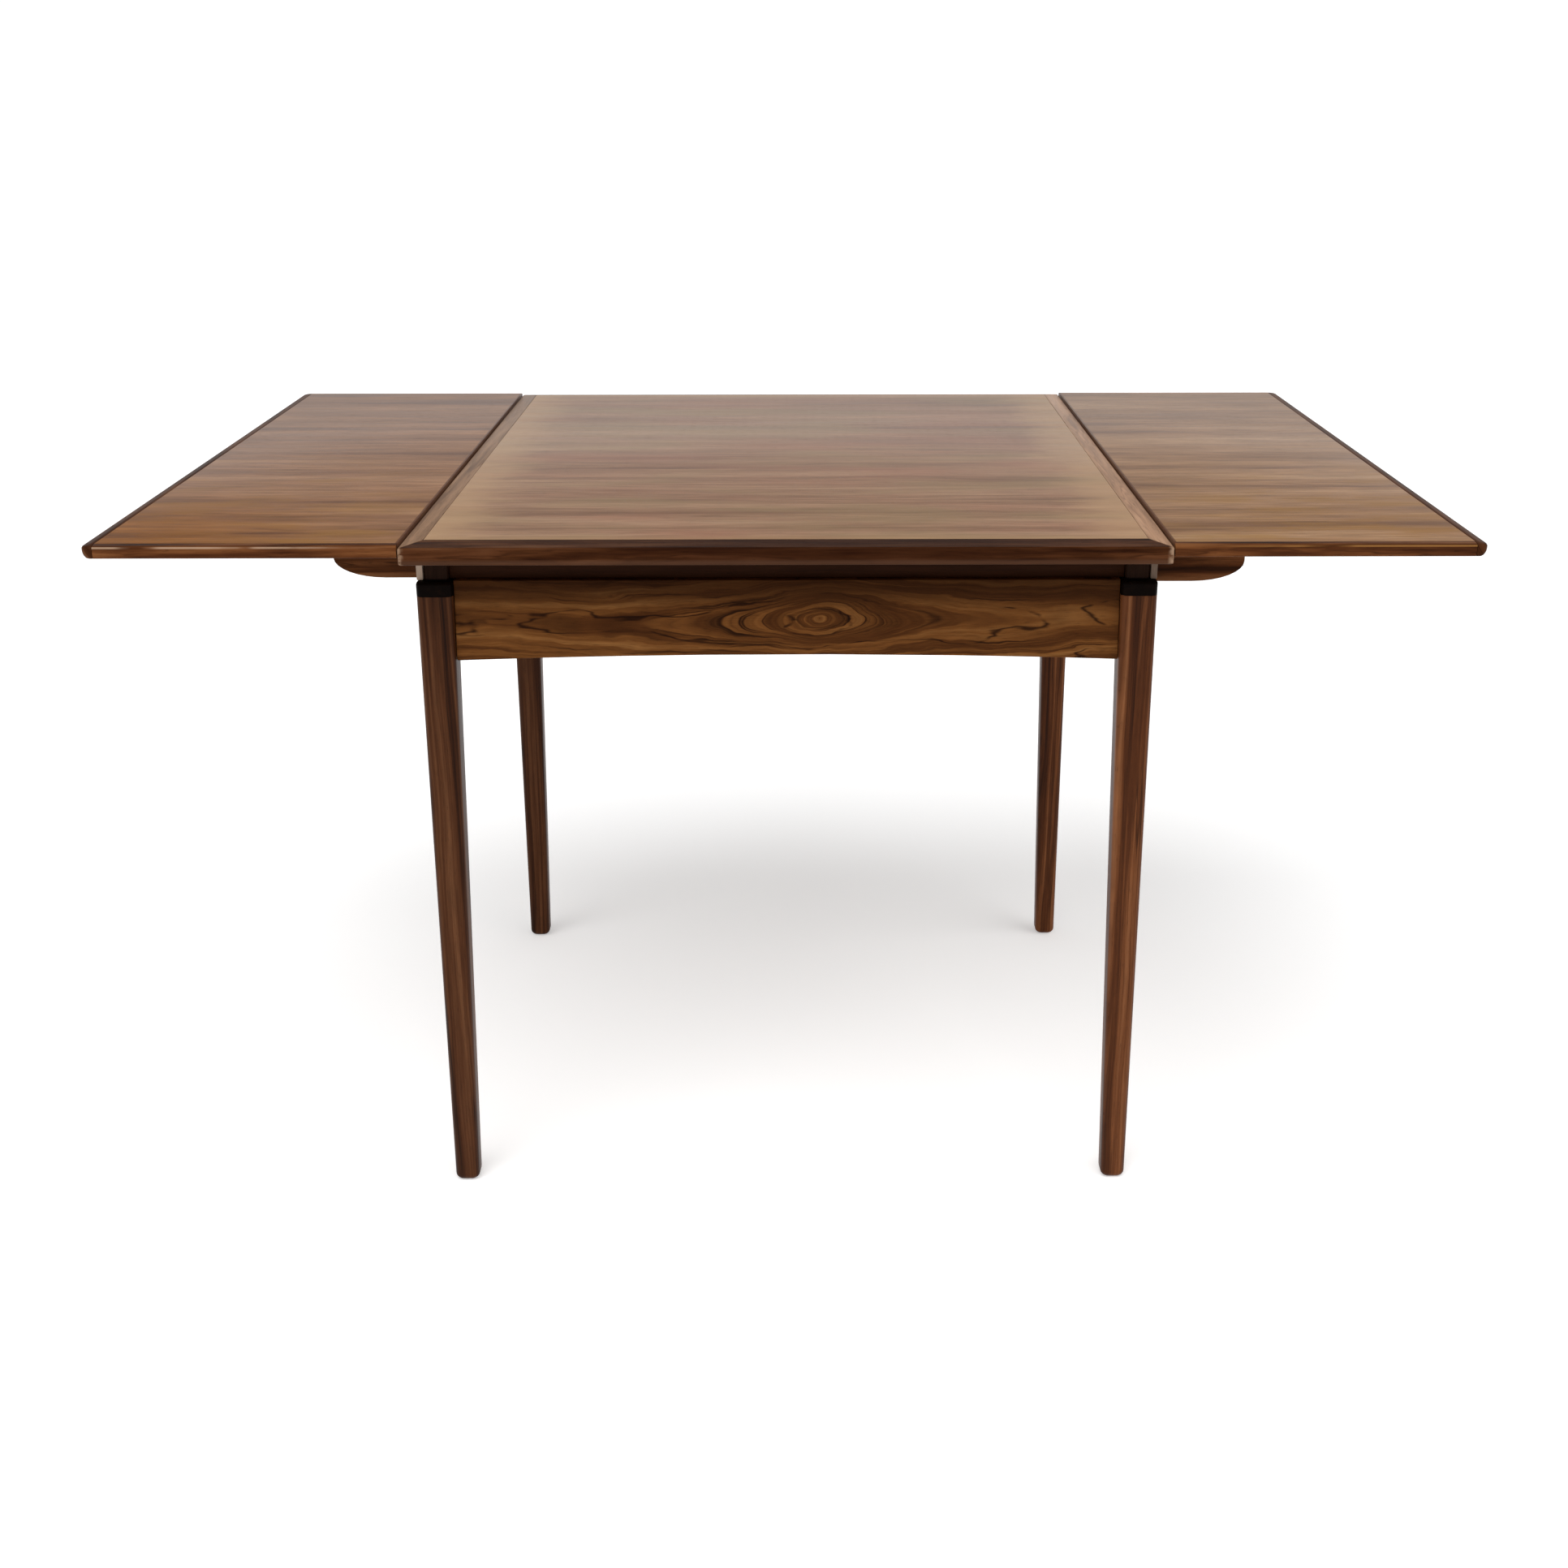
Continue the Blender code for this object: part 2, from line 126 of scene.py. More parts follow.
class Paint:
    # One material. add() puts in a node: its type, its settings, then the values or links of its sockets
    def __init__(self, name):
        self.material = bpy.data.materials.new(name)
        self.material.use_nodes = True
        self.tree = self.material.node_tree
        self.shader = self.tree.nodes["Principled BSDF"]
        place = self.add("ShaderNodeTexCoord", {}, {}, "Object")
        self.x = self.add("ShaderNodeSeparateXYZ", {}, {0: place})
        self.y = Wire(self, self.x.socket.node.outputs[1])
        self.z = Wire(self, self.x.socket.node.outputs[2])

    def add(self, kind, settings, sockets, output=0):
        node = self.tree.nodes.new(kind)
        for key, value in settings.items():
            if key == "stops":
                while len(node.color_ramp.elements) < len(value):
                    node.color_ramp.elements.new(1)
                for element, (position, colour) in zip(node.color_ramp.elements, value):
                    element.position = position
                    element.color = (*colour, 1)
            else:
                setattr(node, key, value)
        self.plug(node, sockets)
        return Wire(self, node.outputs[output])

    def plug(self, node, sockets):
        for key, value in sockets.items():
            if isinstance(value, Wire):
                self.tree.links.new(value.socket, node.inputs[key])
            else:
                node.inputs[key].default_value = value

    def noise(self, x, y, z, detail=2, roughness=0.5):
        # From 0 to 1. A plain number among x, y and z only picks another part of the noise
        spot = self.add("ShaderNodeCombineXYZ", {}, {0: x, 1: y, 2: z})
        sockets = {"Vector": spot, "Scale": 1, "Detail": detail, "Roughness": roughness}
        return self.add("ShaderNodeTexNoise", {}, sockets)

    def rise(self, value, low, high):
        # 0 below low, 1 above high, smooth between
        settings = {"interpolation_type": "SMOOTHSTEP"}
        return self.add("ShaderNodeMapRange", settings, {0: value, 1: low, 2: high})

    def fall(self, value, low, high):
        # 1 below low, 0 above high, smooth between
        return 1 - self.rise(value, low, high)

    def shrink(self, value, reach):
        # 1 at zero, falling away smoothly over the reach
        return self.add("ShaderNodeMath", {"operation": "EXPONENT"}, {0: value * (-1 / reach)})

    def ramp(self, value, places, colours):
        return self.add("ShaderNodeValToRGB", {"stops": list(zip(places, colours))}, {0: value})

    def mix(self, share, first, second, way="MIX"):
        # Its colours are the sockets 6 and 7 of the node, and output 2 is the mixed colour
        first = (*first, 1) if isinstance(first, tuple) else first
        second = (*second, 1) if isinstance(second, tuple) else second
        settings = {"data_type": "RGBA", "blend_type": way}
        return self.add("ShaderNodeMix", settings, {0: share, 6: first, 7: second}, 2)

    def bump(self, height, strength, distance):
        sockets = {"Strength": strength, "Distance": distance, "Height": height}
        return self.add("ShaderNodeBump", {}, sockets)

    def finish(self, **sockets):
        self.plug(self.shader, {key.replace("_", " "): value for key, value in sockets.items()})
        return self.material


# Grain of a piece of rosewood, in metres: how far a mark runs across and along the grain. Drift is how
# far slow waves push the bands aside, and slope is how fast the rings shift through the thickness
grainSizes = {
    "drift": 0.012, "driftAcross": 0.09, "driftAlong": 0.45, "slope": 0.7,
    "band": 0.030, "bandAlong": 0.9,
    "streak": 0.006, "streakAlong": 0.30,
    "fleck": 0.0032, "fleckAlong": 0.035,
    "fibre": 0.0011, "fibreAlong": 0.045,
    "pore": 0.0007, "poreAlong": 0.012,
}
markDetail = {"band": 3, "streak": 3, "fleck": 2, "fibre": 2, "pore": 1}
markRoughness = 0.55


def grain(paint, axis, seed, sizes):
    # The marks of the wood along one axis, each from 0 to 1
    size = {**grainSizes, **sizes}
    along, across, depth = {
        "x": (paint.x, paint.y, paint.z),
        "y": (paint.y, paint.x, paint.z),
        "z": (paint.z, paint.x, paint.y),
    }[axis]
    wide = size["driftAcross"]
    drift = paint.noise(along / size["driftAlong"], across / wide, depth / wide + seed)
    rings = across + depth * size["slope"] + (drift - 0.5) * size["drift"]
    marks = {}
    for mark, detail in markDetail.items():
        run = along / size[mark + "Along"]
        marks[mark] = paint.noise(rings / size[mark], run, seed + detail, detail, markRoughness)
    return marks


# How the marks add up to a colour. toneStops place the four tones, from dark to light
rosewoodFigure = {
    "bandShare": 0.62, "streakShare": 0.38, "toneStops": (0.37, 0.46, 0.54, 0.64),
    "veinAt": 0.47, "veinPatches": (0.42, 0.60),
    "poreEdge": (0.62, 0.72), "poreShade": 0.28, "fibreRelief": 0.35,
}


def rosewood(paint, marks, look):
    # Colour and height of rosewood with its bands, dark veins, flecks, fibre and pores
    figure, tones = rosewoodFigure, look["tones"]
    tone = marks["band"] * figure["bandShare"] + marks["streak"] * figure["streakShare"]
    colour = paint.ramp(tone, figure["toneStops"], [tones[key] for key in ("dark", "mid", "warm", "light")])
    line = paint.fall(abs(marks["band"] - figure["veinAt"]), 0.0, look["veinWidth"])
    patch = paint.rise(marks["streak"], *figure["veinPatches"])
    colour = paint.mix(line * patch * look["veins"], colour, tones["vein"])
    fibre = (marks["fibre"] - 0.5) * (2 * look["fibreDepth"])
    fleck = (marks["fleck"] - 0.5) * (2 * look["fleckDepth"])
    pores = paint.rise(marks["pore"], *figure["poreEdge"])
    shade = (1 + fibre + fleck) * (1 - pores * figure["poreShade"])
    grey = paint.add("ShaderNodeCombineColor", {}, {0: shade, 1: shade, 2: shade})
    colour = paint.mix(1.0, colour, grey, "MULTIPLY")
    return colour, marks["fibre"] * figure["fibreRelief"] - pores


satinFinish = {"streakGloss": 0.12, "relief": 0.25, "reliefDepth": 0.0002}


def satin(paint, colour, height, streak, look):
    # Satin oil finish: gloss that follows the grain a little, and pores that are barely felt
    gloss = streak * satinFinish["streakGloss"] + (look["roughness"] - satinFinish["streakGloss"] / 2)
    normal = paint.bump(height, satinFinish["relief"], satinFinish["reliefDepth"])
    return paint.finish(Base_Color=colour, Roughness=gloss, Normal=normal, Specular_IOR_Level=look["shine"])


def makeRosewood(name, axis, seed, look, wearAndPaintedLight=None):
    # Rosewood with its grain along an axis. A given colour change, where there is one, adds real tone and
    # wear, and on some pieces painted light and shade
    paint = Paint(name)
    marks = grain(paint, axis, seed, look["grain"])
    colour, height = rosewood(paint, marks, look)
    if wearAndPaintedLight:
        colour = wearAndPaintedLight(paint, colour)
    return satin(paint, colour, height, marks["streak"], look)


middleFade = (-0.1, 0.1)  # where the shade of the left half goes over to that of the right half


def leftToRight(left, right):
    # Multiplies a wood's colour by one shade on the left of the table and by another on the right. On the
    # top's side lips this is painted light: the right lip is made lighter
    def wearAndPaintedLight(paint, colour):
        shade = paint.mix(paint.rise(paint.x, *middleFade), left, right)
        return paint.mix(1.0, colour, shade, "MULTIPLY")

    return wearAndPaintedLight


# Top: a light brown field with soft bands, paler and golden towards its borders
topLook = {
    "tones": {
        "dark": (0.165, 0.088, 0.053), "mid": (0.235, 0.132, 0.080), "warm": (0.275, 0.158, 0.097),
        "light": (0.325, 0.200, 0.125), "vein": (0.120, 0.060, 0.036),
    },
    "grain": {
        "band": 0.036, "bandAlong": 0.8, "streak": 0.011, "streakAlong": 0.22,
        "fleck": 0.005, "fleckAlong": 0.05,
    },
    "veins": 0.30, "veinWidth": 0.02, "fibreDepth": 0.18, "fleckDepth": 0.30,
    "roughness": 0.33, "shine": 0.06,
    "patchLong": 0.22, "patchDeep": 0.06,
    "red": (0.285, 0.125, 0.080), "redShare": 0.36, "redEdge": (0.48, 0.68),
    "olive": (0.235, 0.165, 0.085), "oliveShare": 0.40, "oliveEdge": (0.32, 0.50),
    "halo": (0.425, 0.265, 0.140), "haloSides": 0.55, "haloWidth": 0.075,
    "haloFront": 0.42, "haloDepth": 0.018,
    "raggedLong": 0.05, "raggedDeep": 0.02, "raggedSides": 0.09, "raggedFront": 0.012,
}


def topWear(paint, colour):
    # Reddish and olive patches, and pale borders with a ragged edge
    look = topLook
    patches = paint.noise(paint.x / look["patchLong"], paint.y / look["patchDeep"], 7.7)
    colour = paint.mix(paint.rise(patches, *look["redEdge"]) * look["redShare"], colour, look["red"])
    colour = paint.mix(paint.fall(patches, *look["oliveEdge"]) * look["oliveShare"], colour, look["olive"])
    ragged = paint.noise(paint.x / look["raggedLong"], paint.y / look["raggedDeep"], 1.4, 3) - 0.5
    sideGap = topHigh.x - abs(paint.x) + ragged * look["raggedSides"]
    frontGap = topHigh.y - abs(paint.y) + ragged * look["raggedFront"]
    sides = paint.fall(sideGap, 0.0, look["haloWidth"])
    front = paint.fall(frontGap, 0.0, look["haloDepth"])
    halo = sides * look["haloSides"] + front * (1 - sides) * look["haloFront"]
    return paint.mix(halo, colour, look["halo"])


# Leaves: redder than the top. The left leaf's outer front corner glows orange-brown
leafLook = {
    "grain": {
        "band": 0.034, "bandAlong": 0.6, "streak": 0.010, "streakAlong": 0.20,
        "fleck": 0.005, "fleckAlong": 0.05,
    },
    "veins": 0.35, "veinWidth": 0.022, "fibreDepth": 0.18, "fleckDepth": 0.40,
    "roughness": 0.33, "shine": 0.06,
    "golden": (0.260, 0.130, 0.030), "goldShare": 0.6, "goldReach": (0.15, 0.50),
    "goldLong": 0.10, "goldDeep": 0.03, "goldEdge": (0.42, 0.72),
    "orange": (0.80, 0.54, 0.12), "glowReach": (0.02, 0.30),
    "jointDark": (0.085, 0.034, 0.019), "jointShare": 0.85, "jointReach": (0.0012, 0.0025),
}
leftLeafLook = {
    **leafLook, "glow": 0.95,
    "tones": {
        "dark": (0.130, 0.060, 0.032), "mid": (0.205, 0.103, 0.055), "warm": (0.245, 0.125, 0.066),
        "light": (0.300, 0.165, 0.092), "vein": (0.085, 0.034, 0.019),
    },
}
rightLeafLook = {
    **leafLook, "glow": 0.25,
    "tones": {
        "dark": (0.165, 0.086, 0.048), "mid": (0.245, 0.137, 0.076), "warm": (0.285, 0.163, 0.090),
        "light": (0.335, 0.205, 0.120), "vein": (0.105, 0.046, 0.026),
    },
}


def leafWear(side, look):
    # Gold and glow towards the outer front corner, and a dark line along the joint with the top
    def wearAndPaintedLight(paint, colour):
        away = (abs(paint.x - side * cadBox[1].x) ** 2 + abs(paint.y - cadBox[0].y) ** 2) ** 0.5
        blots = paint.noise(paint.x / look["goldLong"], paint.y / look["goldDeep"], 4.4 + side, 3)
        gold = paint.rise(blots, *look["goldEdge"]) * paint.fall(away, *look["goldReach"])
        colour = paint.mix(gold * look["goldShare"], colour, look["golden"])
        glow = paint.fall(away, *look["glowReach"]) * look["glow"]
        colour = paint.mix(glow, colour, look["orange"], "MULTIPLY")
        reach = [leafInner + width for width in look["jointReach"]]
        return paint.mix(paint.fall(abs(paint.x), *reach) * look["jointShare"], colour, look["jointDark"])

    return wearAndPaintedLight


# Solid lips, with the grain along each one
lipLook = {
    "grain": {"band": 0.010, "bandAlong": 0.16, "streak": 0.004, "streakAlong": 0.10},
    "veins": 0.5, "veinWidth": 0.035, "fibreDepth": 0.14, "fleckDepth": 0.16, "roughness": 0.36,
}
darkLipTones = {
    "dark": (0.018, 0.005, 0.002), "mid": (0.046, 0.015, 0.005), "warm": (0.070, 0.024, 0.009),
    "light": (0.105, 0.043, 0.018), "vein": (0.010, 0.003, 0.001),
}
topFrontLook = {
    **lipLook, "tones": darkLipTones, "shine": 0.01,
    "middle": 0.04, "middleReach": (0.08, 0.28), "middleShare": 0.55,
    "lowBand": (0.070, 0.034, 0.020), "lowEdge": (0.0025, 0.0065), "lowShare": 0.6,
    # pale is a painted highlight on the lip's corner arrises, laid on in broken spots
    "pale": (0.330, 0.215, 0.140), "paleReach": (0.006, 0.001), "paleShare": 0.75,
    "blotLong": 0.012, "blotWide": 0.008, "blotEdge": (0.40, 0.56),
}
topSideLook = {
    **lipLook, "shine": 0.08,
    "tones": {
        "dark": (0.150, 0.082, 0.048), "mid": (0.220, 0.126, 0.074), "warm": (0.260, 0.150, 0.090),
        "light": (0.305, 0.185, 0.115), "vein": (0.095, 0.048, 0.028),
    },
    # Painted light: the right lip is made lighter, standing in for the key light that its sloping face misses
    "leftShade": (0.96, 0.95, 0.90), "rightShade": (1.42, 1.40, 1.38),
}
leafLipLook = {
    **lipLook, "shine": 0.02,
    "tones": {
        "dark": (0.022, 0.006, 0.002), "mid": (0.062, 0.019, 0.006), "warm": (0.105, 0.035, 0.011),
        "light": (0.165, 0.064, 0.022), "vein": (0.012, 0.003, 0.001),
    },
}
leafEndLook = {**lipLook, "tones": darkLipTones, "shine": 0.015}


def topFrontTonesAndHighlight(paint, colour):
    # The top's front lip: darker in its middle, greyer along the bottom, with a painted highlight in broken
    # spots at its two corners
    look = topFrontLook
    low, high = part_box("top_lip_front")
    middle = paint.fall(abs(paint.x - look["middle"]), *look["middleReach"])
    colour = paint.mix(middle * look["middleShare"], colour, look["tones"]["dark"])
    band = paint.fall(paint.z, low.z + look["lowEdge"][0], low.z + look["lowEdge"][1])
    colour = paint.mix(band * look["lowShare"], colour, look["lowBand"])
    wide = look["blotWide"]
    blot = paint.noise(paint.x / look["blotLong"], paint.y / wide, paint.z / wide, 3)
    corner = paint.rise(abs(paint.x), high.x - look["paleReach"][0], high.x - look["paleReach"][1])
    highlightSpots = corner * paint.rise(blot, *look["blotEdge"])
    return paint.mix(highlightSpots * look["paleShare"], colour, look["pale"])


# A painted highlight along a leaf's upper arris: from and to are depths under the table's top, with how soft
# each edge is. outward is where it grows strong, from the top's end
arris = {
    "from": 0.0012, "fromSoft": 0.0007, "to": 0.0036, "toSoft": 0.0009, "outward": (0.02, 0.16),
    "breakLong": 0.05, "breakEdge": (0.32, 0.52),
    "left": (0.85, (0.330, 0.215, 0.140)), "right": (0.75, (0.230, 0.105, 0.030)),
}


def arrisHighlight(share, tone):
    # Painted highlight: a pale line just under the leaf's top edge, broken up, strongest towards the outer
    # ends
    def wearAndPaintedLight(paint, colour):
        start, end = cadBox[1].z - arris["from"], cadBox[1].z - arris["to"]
        line = paint.rise(paint.z, end, end + arris["toSoft"])
        line = line * paint.fall(paint.z, start - arris["fromSoft"], start)
        outer = [topHigh.x + reach for reach in arris["outward"]]
        outward = paint.rise(abs(paint.x), *outer)
        broken = paint.rise(paint.noise(paint.x / arris["breakLong"], 0.7, 0.3), *arris["breakEdge"])
        return paint.mix(line * outward * broken * share, colour, tone)

    return wearAndPaintedLight


# Frame: dark figured aprons, and legs and runners of a plainer, redder wood
frameLook = {
    "veins": 0.75, "veinWidth": 0.035, "fibreDepth": 0.20, "fleckDepth": 0.30,
    "roughness": 0.36, "shine": 0.02,
}
frameTones = {
    "dark": (0.024, 0.007, 0.002), "mid": (0.072, 0.024, 0.006), "warm": (0.130, 0.048, 0.012),
    "light": (0.210, 0.092, 0.028), "vein": (0.008, 0.002, 0.001),
}
legTones = {
    "dark": (0.020, 0.006, 0.002), "mid": (0.055, 0.017, 0.005), "warm": (0.095, 0.033, 0.011),
    "light": (0.165, 0.068, 0.027), "vein": (0.010, 0.003, 0.001),
}
legLook = {
    **frameLook, "tones": legTones, "shine": 0.06,
    "grain": {
        "drift": 0.010, "driftAcross": 0.05, "driftAlong": 0.30,
        "band": 0.012, "bandAlong": 0.75, "streak": 0.0035, "streakAlong": 0.30,
    },
    "leftShade": (0.58, 0.55, 0.55), "rightShade": (1.2, 1.15, 1.15),
}
runnerLook = {**frameLook, "tones": legTones, "grain": {"band": 0.010, "bandAlong": 0.2}}
sideApronLook = {**frameLook, "tones": frameTones, "grain": {"band": 0.014, "bandAlong": 0.6}}
# The apron's rings close round an eye, whose place is from the table's middle and the floor. Away from it
# they open out to eyeFlat, as fast as eyePinch says. swirl and sway push them up and down, and growth is
# the gap from one dark growth line to the next
apronLook = {
    "tones": frameTones, "veins": 0.9, "veinWidth": 0.035, "fibreDepth": 0.20, "fleckDepth": 0.34,
    "roughness": 0.40, "shine": 0.02,
    "eye": 0.031, "eyeHeight": 0.627, "eyeFlat": 0.030, "eyePinch": 0.060,
    "swirl": 0.016, "swirlLong": 0.060, "swirlHigh": 0.022, "sway": 0.030, "swayLong": 0.22,
    "band": 0.010, "bandAlong": 0.8, "bandDetail": 4, "bandRoughness": 0.65,
    "streak": 0.004, "streakAlong": 0.25, "streakDetail": 3, "streakRoughness": 0.6,
    "fleck": 0.0022, "fleckAlong": 0.030, "fibre": 0.0012, "fibreAlong": 0.04, "fibreLift": 200,
    "pore": 0.0007, "poreAlong": 0.012,
    "growth": 0.019, "growthSway": 1.8, "growthLong": 0.12, "growthHigh": 0.030,
    "growthWidth": 0.060, "growthShare": 0.85,
    "breakLong": 0.08, "breakHigh": 0.012, "breakEdge": (0.42, 0.54),
    "shadow": (0.022, 0.007, 0.002), "shadowFrom": 0.036, "shadowTo": 0.006, "shadowShare": 0.78,
}


def makeApronVeneer(name, seed, middle):
    # Cathedral figure: rings that close round an eye and run out level to both ends, with dark growth
    # lines, and a head that is dark in the shadow of the top
    paint, look = Paint(name), apronLook
    swirl = paint.noise(paint.x / look["swirlLong"], paint.z / look["swirlHigh"], seed, 3)
    sway = paint.noise(paint.x / look["swayLong"], seed, 0.4, 1)
    depth = look["eyeFlat"] * (1 - paint.shrink(abs(paint.x - middle), look["eyePinch"]))
    lift = paint.z - look["eyeHeight"] + (swirl - 0.5) * look["swirl"] + (sway - 0.5) * look["sway"]
    rings = (depth ** 2 + lift ** 2) ** 0.5
    marks = {
        "band": paint.noise(
            rings / look["band"], paint.x / look["bandAlong"], seed + 1,
            look["bandDetail"], look["bandRoughness"],
        ),
        "streak": paint.noise(
            rings / look["streak"], paint.x / look["streakAlong"], seed + 2,
            look["streakDetail"], look["streakRoughness"],
        ),
        "fleck": paint.noise(rings / look["fleck"], paint.x / look["fleckAlong"], seed + 5),
        "fibre": paint.noise(
            paint.z / look["fibre"] + lift * look["fibreLift"], paint.x / look["fibreAlong"], seed + 3
        ),
        "pore": paint.noise(paint.z / look["pore"], paint.x / look["poreAlong"], seed + 4, 1),
    }
    colour, height = rosewood(paint, marks, look)
    growthSway = paint.noise(paint.x / look["growthLong"], paint.z / look["growthHigh"], seed + 6, 3)
    turn = rings / look["growth"] + growthSway * look["growthSway"]
    line = paint.fall(abs(turn.fraction() - 0.5), 0.0, look["growthWidth"])
    breaks = paint.noise(paint.x / look["breakLong"], paint.z / look["breakHigh"], seed + 7)
    broken = paint.rise(breaks, *look["breakEdge"])
    colour = paint.mix(line * broken * look["growthShare"], colour, look["tones"]["vein"])
    shadow = paint.rise(paint.z, apronTop - look["shadowFrom"], apronTop - look["shadowTo"])
    colour = paint.mix(shadow * look["shadowShare"], colour, look["shadow"])
    return satin(paint, colour, height, marks["streak"], look)


# Woods with no finish to speak of: fine straight grain only
plainWoodLook = {
    "grain": {"band": 0.018, "streak": 0.003, "streakAlong": 0.08},
    "bandShare": 0.45, "streakShare": 0.35, "fibreShare": 0.20, "toneStops": (0.32, 0.68),
    "poreEdge": (0.60, 0.70), "poreShare": 0.35,
    "relief": 0.35, "reliefDepth": 0.0003, "streakGloss": 0.15, "shine": 0.03,
}
railLook = {"dark": (0.010, 0.003, 0.001), "light": (0.030, 0.010, 0.004), "roughness": 0.45}
beechLook = {"dark": (0.36, 0.21, 0.10), "light": (0.56, 0.38, 0.22), "roughness": 0.50}
guideLook = {
    "dark": (0.230, 0.165, 0.125), "light": (0.400, 0.310, 0.240), "roughness": 0.50,
    # The guide tones are those of the lit blocks on the left; right is painted shade for the blocks in the
    # right half
    "right": (0.060, 0.038, 0.026), "rightShare": 0.7,
}


def makePlainWood(name, axis, seed, wood, wearAndPaintedLight=None):
    paint, look = Paint(name), plainWoodLook
    marks = grain(paint, axis, seed, look["grain"])
    tone = marks["band"] * look["bandShare"] + marks["streak"] * look["streakShare"]
    tone = tone + marks["fibre"] * look["fibreShare"]
    colour = paint.ramp(tone, look["toneStops"], (wood["dark"], wood["light"]))
    if wearAndPaintedLight:
        colour = wearAndPaintedLight(paint, colour)
    pores = paint.rise(marks["pore"], *look["poreEdge"])
    colour = paint.mix(pores * look["poreShare"], colour, wood["dark"])
    normal = paint.bump(marks["fibre"], look["relief"], look["reliefDepth"])
    gloss = marks["streak"] * look["streakGloss"] + wood["roughness"]
    return paint.finish(Base_Color=colour, Roughness=gloss, Normal=normal, Specular_IOR_Level=look["shine"])


def guidePaintedShade(paint, colour):
    # Painted shade: the guide blocks on the right are made darker, for the shade they stand in; those on the
    # left keep the lit tone
    return paint.mix(paint.rise(paint.x, *middleFade) * guideLook["rightShare"], colour, guideLook["right"])


lacquerLook = {
    "black": ((0.003, 0.0015, 0.001), (0.010, 0.004, 0.002)), "rubSize": 0.012, "rubEdge": (0.55, 0.80),
    "rubShare": 0.6, "brown": ((0.008, 0.003, 0.0015), (0.020, 0.009, 0.005)), "neckEdge": (0.0005, 0.002),
    "grain": 0.002, "grainAlong": 0.03, "relief": 0.2, "reliefDepth": 0.0003,
    "rubGloss": 0.20, "roughness": 0.22, "shine": 0.02,
}


def makeBlackLacquer():
    # Black over close-grained wood, worn dark brown on the necks
    paint, look = Paint("blackLacquer"), lacquerLook
    onNeck = paint.rise(paint.z, apronTop + look["neckEdge"][0], apronTop + look["neckEdge"][1])
    fine = look["grain"]
    fibre = paint.noise(paint.x / fine, paint.y / fine, paint.z / look["grainAlong"], 3)
    size = look["rubSize"]
    rub = paint.noise(paint.x / size, paint.y / size, paint.z / size)
    colour = paint.mix(paint.rise(rub, *look["rubEdge"]) * look["rubShare"], *look["black"])
    colour = paint.mix(onNeck, colour, paint.mix(fibre, *look["brown"]))
    normal = paint.bump(fibre, look["relief"], look["reliefDepth"])
    gloss = rub * look["rubGloss"] + look["roughness"]
    return paint.finish(Base_Color=colour, Roughness=gloss, Normal=normal, Specular_IOR_Level=look["shine"])


zincLook = {
    "tones": ((0.42, 0.41, 0.38), (0.66, 0.65, 0.61)), "toneStops": (0.3, 0.7), "mottle": 0.003,
    "relief": 0.2, "reliefDepth": 0.0002, "mottleGloss": 0.2, "roughness": 0.25,
}


def makeZinc():
    # Zinc plate, a little dull and mottled
    paint, look = Paint("zincPlate"), zincLook
    size = look["mottle"]
    mottle = paint.noise(paint.x / size, paint.y / size, paint.z / size, 3)
    colour = paint.ramp(mottle, look["toneStops"], look["tones"])
    normal = paint.bump(mottle, look["relief"], look["reliefDepth"])
    gloss = mottle * look["mottleGloss"] + look["roughness"]
    return paint.finish(Base_Color=colour, Metallic=1.0, Roughness=gloss, Normal=normal)


topFrontWood = makeRosewood("lipFrontWood", "x", 11.0, topFrontLook, topFrontTonesAndHighlight)
topSidePaintedLight = leftToRight(topSideLook["leftShade"], topSideLook["rightShade"])
topSideWood = makeRosewood("lipSideWood", "y", 12.6, topSideLook, topSidePaintedLight)
leftLipWood = makeRosewood("leafLipWoodLeft", "x", 14.2, leafLipLook, arrisHighlight(*arris["left"]))
rightLipWood = makeRosewood("leafLipWoodRight", "x", 14.9, leafLipLook, arrisHighlight(*arris["right"]))
leafEndWood = makeRosewood("leafEndWood", "y", 15.7, leafEndLook)
legShades = leftToRight(legLook["leftShade"], legLook["rightShade"])
legWood = makeRosewood("legWood", "z", 21.0, legLook, legShades)
runnerWood = makeRosewood("runnerWood", "x", 24.0, runnerLook)
sideApronWood = makeRosewood("sideApronWood", "y", 27.0, sideApronLook)
frontApronWood = makeApronVeneer("frontApronWood", 31.0, apronLook["eye"])
backApronWood = makeApronVeneer("backApronWood", 35.5, -apronLook["eye"])
railLengthWood = makePlainWood("railWoodLong", "x", 41.0, railLook)
railCrossWood = makePlainWood("railWoodCross", "y", 43.0, railLook)
guideWood = makePlainWood("guideWood", "z", 45.0, guideLook, guidePaintedShade)
beechCross = makePlainWood("beechCross", "y", 47.0, beechLook)
beechUpright = makePlainWood("beechUpright", "z", 49.0, beechLook)
topVeneer = makeRosewood("topVeneer", "x", 3.1, topLook, topWear)
leftLeafVeneer = makeRosewood("leafVeneerLeft", "x", 4.3, leftLeafLook, leafWear(-1, leftLeafLook))
rightLeafVeneer = makeRosewood("leafVeneerRight", "x", 6.3, rightLeafLook, leafWear(1, rightLeafLook))
blackLacquer = makeBlackLacquer()
zincPlate = makeZinc()
print("materials made")


# Modelling helpers

easing = {"segments": 2, "sharpAngle": 40, "smoothAngle": 38, "merge": 0.00002, "flatAngle": 0.5}
sameHeight = 0.000001


def workOn(piece):
    bpy.ops.object.select_all(action="DESELECT")
    piece.select_set(True)
    bpy.context.view_layer.objects.active = piece


